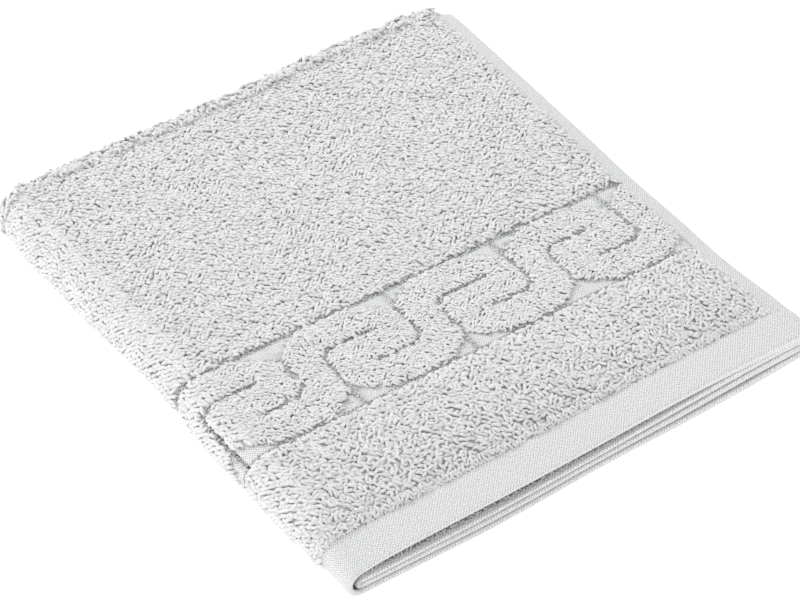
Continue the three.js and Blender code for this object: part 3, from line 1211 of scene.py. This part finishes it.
    def shares(self, across: Array, along: Array, is_back: Array) -> dict[str, Array]:
        """Works out how much shade is painted on each place: under loops, in a groove, between plies
        or in a crease.

        Args:
            across: Places across the flat cloth.
            along: Places along it.
            is_back: Whether each place is on the cloth's back.

        Returns:
            Values from 0 to 1 by the name of the mesh attribute that holds them.
        """
        c = self.cloth
        near = c.clearance(across, along)
        selvedge, end = c.edge_distances(across, along)
        piled = c.piled(across, along)
        # Round the folds the pile opens, and less shade is painted on the lower loops.
        turn = np.minimum(across - c.flat_across, c.flat_across + c.fold_across - across)
        behind = along - c.flat_along + self.back_opening_mm
        opened = 1 - self.open_share * self.opening.share(np.maximum(turn, behind))
        inner = is_back | (along > c.total_along / 2)
        # Between the plies the painted shade grows in from the edges.
        depth = self.shade_in.share(np.minimum(selvedge, end))
        depth = np.where(is_back & (turn > self.fold_start_mm), self.fold_shade_in.share(end), depth)
        # Shade is painted in the creases on the face too.
        creased = np.where(is_back, 0.0, np.clip(c.crease(across, along), 0.0, 1.0))
        # Under the pile, back from bare ground, shade is painted on the ground.
        sheltered = piled * self.shelter.share(near)
        return {
            "under_loops_shade": np.where(is_back, 0.0, sheltered) * opened,
            "in_groove_shade": piled * share_at(GROOVE_PAINTED_SHADE, near),
            "ply_and_crease_shade": np.where(
                inner, self.inside_share * depth, self.crease_share * creased
            ),
        }

    def sink(self, across: Array, along: Array) -> Array:
        """Works out how far the face lies below the tips of the loops.

        Args:
            across: Places across the flat cloth.
            along: Places along it.

        Returns:
            The depth at each place.
        """
        c = self.cloth
        bare = np.clip(self.bare_half_mm - c.clearance(across, along), 0.0, 1.0)
        depth = mix(self.foot_mm, c.groove_depth, bare)
        return c.piled(across, along) * depth + c.crease(across, along)


@dataclass(frozen=True)
class LoopKind:
    """Sizes of the loops in one part of the pile, in millimetres and degrees.

    `yarn` is the length of yarn that shows in a loop, `bend` how far it arches over,
    `fall` how far the loops hang towards the hem, `ragged` how much they differ in
    height, `depth` how dark the shade painted on their flanks is, `proud` how far they
    stand out, `tip` how steeply they stand on end, and `sides` and `rings` how round
    they are.
    """

    yarn: float
    thick: float
    bend: float
    pitch_across: float
    pitch_along: float
    flow: float
    scatter: float
    lean: float
    fall: float
    ragged: float
    depth: float = 1.0
    proud: float = 0.0
    tip: float = 0.0
    sides: int = 4
    rings: int = 5


FINE = LoopKind(1.95, 0.9, 95, 1.3, 0.65, 24, 27, 14, 0, 0.25, 0.5)
BODY = LoopKind(2.3, 1.1, 95, 1.56, 0.75, 25, 26, 15, 0, 0.34, 1.2)
CURLY = LoopKind(2.6, 1.08, 145, 1.55, 0.8, 25, 38, 30, 14, 0.45, 0.35)
SEAM = LoopKind(2.4, 0.95, 170, 1.2, 0.6, 60, 50, 25, 26, 0.4, 0.4, 0.75)
FOLD = LoopKind(2.3, 1.2, 90, 1.36, 0.72, 50, 22, 12, 0, 0.2, 0.6)
EDGE = LoopKind(2.8, 1.15, 85, 1.15, 0.72, 75, 45, 30, 8, 0.75, 0.45, 0.65, 28)
PRESSED = LoopKind(3.0, 1.2, 100, 2.7, 1.5, 0, 30, 20, 0, 0.1, sides=3, rings=4)


@dataclass(frozen=True)
class LoopTone:
    """How light the loops are, from 0 to 1, what makes one differ from another, and the shade
    painted on their flanks and ends.
    """

    own: float = 0.86
    uneven: float = 0.1
    patchy: float = 0.06
    beside_bare: float = 0.1
    # How much shade is painted on a loop's flanks and on its ends.
    flank_shade: float = 1.5
    ends: float = 1.6

    def shades(
        self, rng: np.random.Generator, strand: Array, depth: float, drift: Array, near: Array
    ) -> Array:
        """Works out the tone of every vertex of the loops, painted shade included.

        Args:
            rng: The piece's random draws.
            strand: Vertices of a straight strand.
            depth: How dark the shade painted on the loops' flanks is.
            drift: How light the patch is that each loop stands in.
            near: How near each loop stands to bare ground.

        Returns:
            The tones, loop by loop.
        """
        # A loop's flanks and ends lie between its neighbours, where little light gets, so shade is
        # painted on them.
        flank_shade = np.clip(0.5 + self.flank_shade * strand[:, 2], 0.0, 1.0)
        lit = 1 - depth * (1 - flank_shade * (1 - self.ends * strand[:, 0] ** 2))
        own = self.own + self.uneven * rng.normal(0, 1, len(near))
        own = np.clip(own + self.patchy * drift + self.beside_bare * near, 0, 1)
        return (own[:, None] * lit[None]).ravel()


@dataclass
class TerryPile:
    """Loops of yarn over one stretch of the cloth's face, joined in one mesh.

    The fields of two numbers say how much one loop differs from the next.
    """

    cloth: FoldedCloth
    name: str
    kind: LoopKind
    across: tuple[float, float]
    along: tuple[float, float]
    seed: int
    jitter_across: float = 0.22
    jitter_along: float = 0.3
    flow_turn: float = 18.0
    curl_turn: float = 30.0
    tip_scatter: float = 10.0
    fall_range: tuple[float, float] = (0.4, 1.6)
    yarn_range: tuple[float, float] = (0.85, 1.15)
    thick_range: tuple[float, float] = (0.9, 1.12)
    bend_range: tuple[float, float] = (0.8, 1.15)
    height_range: tuple[float, float] = (-0.5, 1.0)
    drift_drop: float = 0.35
    dome_mm: float = 2.4
    dome_drop: float = 0.45
    dome_lean: float = 0.75
    stand_off: float = 0.22
    blunt: float = 0.75
    tone: LoopTone = LoopTone()

    def strand(self) -> tuple[Array, Array, Array]:
        """Makes a straight strand of yarn 1 long and 1 thick, with round ends.

        Returns:
            Its vertices, its triangles and the UVs of its vertices.
        """
        bm = bmesh.new()
        bmesh.ops.create_uvsphere(
            bm, u_segments=self.kind.sides, v_segments=self.kind.rings, radius=0.5
        )
        lay = Matrix.Rotation(math.pi / 2, 3, "Y") @ Matrix.Rotation(math.pi / 4, 3, "Z")
        bmesh.ops.transform(bm, matrix=lay.to_4x4(), verts=bm.verts[:])
        bmesh.ops.triangulate(bm, faces=bm.faces[:])
        bmesh.ops.recalc_face_normals(bm, faces=bm.faces[:])
        verts = np.array([v.co for v in bm.verts])
        tris = np.array([[v.index for v in f.verts] for f in bm.faces])
        bm.free()
        around = np.arctan2(verts[:, 1], verts[:, 2]) / (2 * math.pi)
        # Yarn keeps its thickness almost to the end, which a stretched ball doesn't.
        ring = np.linalg.norm(verts[:, 1:], axis=1, keepdims=True)
        safe = np.maximum(ring, 1e-4)
        verts[:, 1:] *= np.where(ring > 1e-4, (2 * ring) ** self.blunt / 2 / safe, 0)
        return verts, tris, np.stack([verts[:, 0], around], -1)

    def places(self, rng: np.random.Generator) -> tuple[Array, Array]:
        """Sets the loops out in staggered rows of the weave, disturbed.

        Args:
            rng: The piece's random draws.

        Returns:
            The loops' places across and along the flat cloth.
        """
        k = self.kind
        across, along = [], []
        for i, row in enumerate(np.arange(*self.along, k.pitch_along)):
            start = self.across[0] + (0.5 * (i % 2)) * k.pitch_across
            places = np.arange(start, self.across[1], k.pitch_across)
            across.append(places)
            along.append(np.full_like(places, row))
        a, b = np.concatenate(across), np.concatenate(along)
        wide, long = self.jitter_across, self.jitter_along
        a = np.clip(a + rng.uniform(-wide, wide, len(a)) * k.pitch_across, *self.across)
        b = np.clip(b + rng.uniform(-long, long, len(b)) * k.pitch_along, *self.along)
        standing = self.cloth.pile_clearance(a, b) > self.stand_off
        return a[standing], b[standing]

    def towards_bare(self, a: Array, b: Array) -> tuple[Array, Array, Array]:
        """Looks for bare ground near the loops.

        Args:
            a: The loops' places across the flat cloth.
            b: Their places along it.

        Returns:
            How near it is, 0 to 1, and how far it lies across and along.
        """
        step = 0.1
        near = self.cloth.pile_clearance
        share = np.clip(1.0 - near(a, b) / self.dome_mm, 0.0, 1.0)
        ga = (near(a - step, b) - near(a + step, b)) / (2 * step)
        gb = (near(a, b - step) - near(a, b + step)) / (2 * step)
        return share, ga, gb

    def stand(
        self, rng: np.random.Generator, a: Array, b: Array, bare: Sequence[Array]
    ) -> tuple[Array, Array, Array]:
        """Works out how each loop stands.

        Args:
            rng: The piece's random draws.
            a: The loops' places across the flat cloth.
            b: Their places along it.
            bare: How near bare ground is, and how far it lies across and along.

        Returns:
            Each loop's upward, forward and sideward direction.
        """
        k, n = self.kind, len(a)
        da, db, normal = self.cloth.directions(a, b)
        near, ga, gb = bare
        flow = self.flow_turn * FLOW(a, b) + self.curl_turn * CURL(a, b)
        angle = np.radians(k.flow + flow + rng.normal(0, k.scatter, n))[:, None]
        lean = np.radians(rng.normal(0, k.lean, n))[:, None]
        tip = np.radians(rng.normal(k.tip, self.tip_scatter, n))[:, None]
        fall = math.radians(k.fall) * rng.uniform(*self.fall_range, n)
        over_across = self.dome_lean * near * ga
        over_along = self.dome_lean * near * gb - np.tan(fall)
        up = unit(normal + over_across[:, None] * da + over_along[:, None] * db)
        forward = turned(da, db, angle)[0]
        forward = unit(forward - (forward * up).sum(-1, keepdims=True) * up)
        side = np.cross(up, forward)
        up, side = turned(up, side, lean)
        up, forward = turned(up, forward, tip)
        return up, forward, side

    @staticmethod
    def arch(strand: Array, centre: Array, axes: Sequence[Array], sizes: Sequence[Array]) -> Array:
        """Arches a strand over at each loop's place.

        Args:
            strand: Vertices of a straight strand.
            centre: The middle of each loop.
            axes: Each loop's upward, forward and sideward direction.
            sizes: Each loop's length of yarn, its thickness and its bend in radians.

        Returns:
            The loops' vertices, kept off the floor.
        """
        up, forward, side = (axis[:, None] for axis in axes)
        yarn, thick, bend = (size[:, None] for size in sizes)
        radius = yarn / bend
        turn = strand[None, :, 0] * bend
        rise = radius + strand[None, :, 2] * thick
        points = (
            centre[:, None]
            + (rise * np.sin(turn))[..., None] * forward
            + (strand[None, :, 1] * thick)[..., None] * side
            + (rise * np.cos(turn) - radius)[..., None] * up
        )
        points[..., 2] = np.maximum(points[..., 2], 0.0)
        return points.reshape(-1, 3)

    def build(self, material: Material) -> Object:
        """Builds the pile piece.

        Args:
            material: The loop yarn's material.

        Returns:
            The joined loops as one piece.
        """
        k = self.kind
        rng = np.random.default_rng(self.seed)
        a, b = self.places(rng)
        n = len(a)
        drift = DRIFT(a, b)
        bare = self.towards_bare(a, b)
        near = bare[0]
        axes = self.stand(rng, a, b, bare)
        yarn = k.yarn * rng.uniform(*self.yarn_range, n)
        thick = k.thick * rng.uniform(*self.thick_range, n)
        bend = np.radians(k.bend) * rng.uniform(*self.bend_range, n)
        drop = k.ragged * (rng.uniform(*self.height_range, n) + self.drift_drop * drift)
        sink = thick / 2 + drop + self.dome_drop * near**2 - k.proud
        centre = self.cloth.surface(a, b, Side.FACE, sink)
        strand, tris, uv = self.strand()
        points = self.arch(strand, centre, axes, (yarn, thick, bend))
        first = (np.arange(n) * len(strand))[:, None, None]
        mesh = bpy.data.meshes.new(self.name)
        mesh.from_pydata((points * MM).tolist(), [], (tris + first).reshape(-1, 3).tolist())
        mesh.shade_smooth()
        tone = mesh.attributes.new("tone", "FLOAT", "POINT")
        shades = self.tone.shades(rng, strand, k.depth, drift, near)
        tone.data.foreach_set("value", shades.astype(np.float32))
        layer = mesh.uv_layers.new(name="yarn")
        corner = np.tile(uv[tris.ravel()], (n, 1)) * np.array([k.yarn, 1.0])
        layer.data.foreach_set("uv", corner.astype(np.float32).ravel())
        piece = link(bpy.data.objects.new(self.name, mesh))
        dress(piece, material)
        return piece


@dataclass
class Studio:
    """White sweep, soft light and the camera at the photograph's angle."""

    shift: Array
    lens_mm: float = 120.85
    sensor_mm: float = 36.0
    near_clip: float = 0.01
    azimuth: float = -37.613
    elevation: float = 42.511
    roll: float = 2.208
    distance: float = 700.1
    target: tuple[float, float, float] = (-4.388, -10.267, 7.0)
    floor_half: float = 3.0
    room: float = 0.85
    lamps: tuple[Lamp, ...] = (
        Lamp("back_light", 0.5, 4.3, (-0.25, 0.85, 0.8)),
        Lamp("left_light", 0.6, 0.4, (-0.9, -0.2, 0.5)),
    )

    def camera(self) -> None:
        """Places the camera."""
        a, e = math.radians(self.azimuth), math.radians(self.elevation)
        back = Vector((math.sin(a) * math.cos(e), -math.cos(a) * math.cos(e), math.sin(e)))
        place = (Vector(self.target) + Vector(self.shift) + back * self.distance) * MM
        data = bpy.data.cameras.new("camera")
        data.lens = self.lens_mm
        data.sensor_width = self.sensor_mm
        data.clip_start = self.near_clip
        camera = link(bpy.data.objects.new("camera", data))
        aim = back.to_track_quat("Z", "Y").to_matrix()
        roll = Matrix.Rotation(math.radians(self.roll), 3, "Z")
        camera.matrix_world = Matrix.Translation(place) @ (aim @ roll).to_4x4()
        bpy.context.scene.camera = camera

    def sweep(self) -> None:
        """Lays the floor."""
        bm = bmesh.new()
        bmesh.ops.create_grid(bm, x_segments=1, y_segments=1, size=self.floor_half)
        floor = settle(bm, "floor")
        floor.data.materials.append(StudioWhite().make())

    def lights(self) -> None:
        """Hangs a broad light behind and a weaker one at the left, in a white room."""
        world = bpy.data.worlds.new("studio")
        world.use_nodes = True
        background = world.node_tree.nodes["Background"]
        background.inputs["Color"].default_value = linear("#FFFFFF")
        background.inputs["Strength"].default_value = self.room
        bpy.context.scene.world = world
        for name, size, watts, place in self.lamps:
            data = bpy.data.lights.new(name, "AREA")
            data.shape = "DISK"
            data.size = size
            data.energy = watts
            light = link(bpy.data.objects.new(name, data))
            aim = Vector(place).to_track_quat("Z", "Y").to_matrix().to_4x4()
            light.matrix_world = Matrix.Translation(place) @ aim

    def build(self) -> None:
        """Builds floor, lights and camera."""
        self.sweep()
        self.lights()
        self.camera()
        bpy.context.scene.view_settings.view_transform = "Standard"


@dataclass
class Washcloth:
    """The whole washcloth: its ground sheet and the stretches of its pile.

    The laps say how far the loops reach past an edge, and `under_width` how wide the
    left half of the underside's pile is.
    """

    cloth: FoldedCloth = field(default_factory=FoldedCloth)
    edge_lap: float = 0.2
    seam_lap: float = 0.3
    back_lap: float = 1.5
    curl_depth: float = 1.6
    under_width: float = 68.0

    def piles(self) -> list[TerryPile]:
        """Divides the pile that shows, so that each piece stays under its limit.

        Returns:
            The stretches of pile.
        """
        c = self.cloth
        start, fold = c.selvedge - self.edge_lap, c.flat_across
        end, far = fold + c.fold_across, c.total_across - start
        half, under = (start + fold) / 2, end + self.under_width
        seam, curls = c.hem - self.seam_lap, c.hem + self.curl_depth
        front, top = KEY_Y["bottom"] - c.front, KEY_Y["top"] - c.front
        back, last = c.flat_along, c.flat_along + c.fold_along
        stretches = (
            ("pile_body_right", BODY, (start, half), (top, back), 1),
            ("pile_body_left", BODY, (half, fold), (top, back), 2),
            ("pile_key_border", FINE, (start, fold), (front, top), 3),
            ("pile_front_band", CURLY, (start, fold), (seam, front), 4),
            ("pile_seam_curls", SEAM, (start, end), (c.hem, curls), 9),
            ("pile_left_fold", FOLD, (fold, end), (seam, back), 5),
            ("pile_back_folds", EDGE, (start, far), (back - self.back_lap, last), 6),
            ("pile_underside_left", PRESSED, (end, under), (seam, back), 7),
            ("pile_underside_right", PRESSED, (under, far), (seam, back), 8),
        )
        return [TerryPile(c, *stretch) for stretch in stretches]

    def build(self) -> None:
        yarn = CottonYarn().make()
        ground = WovenGround().make(self.cloth.total_across)
        sheet = GroundSheet(self.cloth).build(ground)
        log.info("%s: %d faces", sheet.name, len(sheet.data.polygons))
        for pile in self.piles():
            piece = pile.build(yarn)
            log.info("%s: %d faces", piece.name, len(piece.data.polygons))


def main() -> None:
    """Builds the washcloth and its studio."""
    logging.basicConfig(level=logging.INFO, format="%(name)s: %(message)s")
    washcloth = Washcloth()
    washcloth.build()
    Studio(washcloth.cloth.shift).build()


if __name__ == "__main__":
    main()
